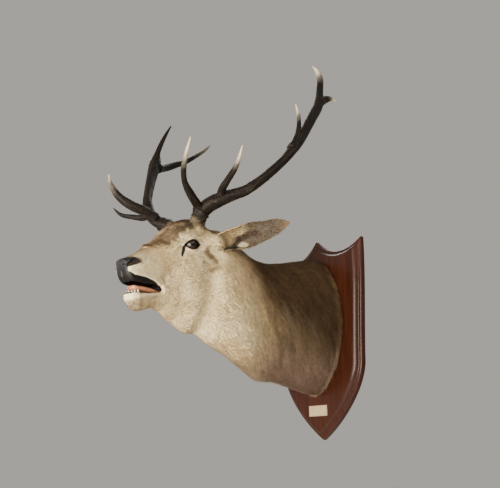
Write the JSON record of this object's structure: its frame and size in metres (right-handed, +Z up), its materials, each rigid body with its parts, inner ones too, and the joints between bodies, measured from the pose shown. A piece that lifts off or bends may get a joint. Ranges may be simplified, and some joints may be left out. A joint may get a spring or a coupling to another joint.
{
  "type": "red deer stag head mount",
  "caption": "Life-size red deer stag head and neck, turned to its left with an open mouth, with branched antlers, on a shield-shaped wall plaque.",
  "frame": {"origin": "middle of the shield's flat back face, where it lies against the wall", "axes": "+Z up, -Y out from the wall towards the nose, +X to the stag's left"},
  "size_m": [0.6538, 0.7787, 1.2582],
  "materials": {
    "wood": "glossy varnish on red-brown mahogany",
    "label": "matt cream, blank",
    "neck_coat": "coarse buff-brown and grey hair",
    "face_coat": "short pale buff hair",
    "ear_coat": "pale grey-buff hair, darker inside",
    "nose_skin": "bare blue-black skin, slightly moist",
    "tongue": "painted orange-pink, semi-gloss",
    "eye_glass": "polished glass eye, dark brown",
    "antler": "near-black brown bone, worn ivory at the tips"
  },
  "bodies": {
    "root": {"plaque": "wood", "label_plate": "label", "neck": "neck_coat", "head": "face_coat", "lower_jaw": "face_coat", "nose": "nose_skin", "tongue": "tongue", "eye_left": "eye_glass", "eye_right": "eye_glass", "ear_left": "ear_coat", "ear_right": "ear_coat", "antler_left_beam": "antler", "antler_left_brow": "antler", "antler_left_bez": "antler", "antler_left_trey": "antler", "antler_left_top": "antler", "antler_right_beam": "antler", "antler_right_brow": "antler", "antler_right_bez": "antler", "antler_right_trey": "antler", "antler_right_top": "antler"}
  },
  "joints": []
}
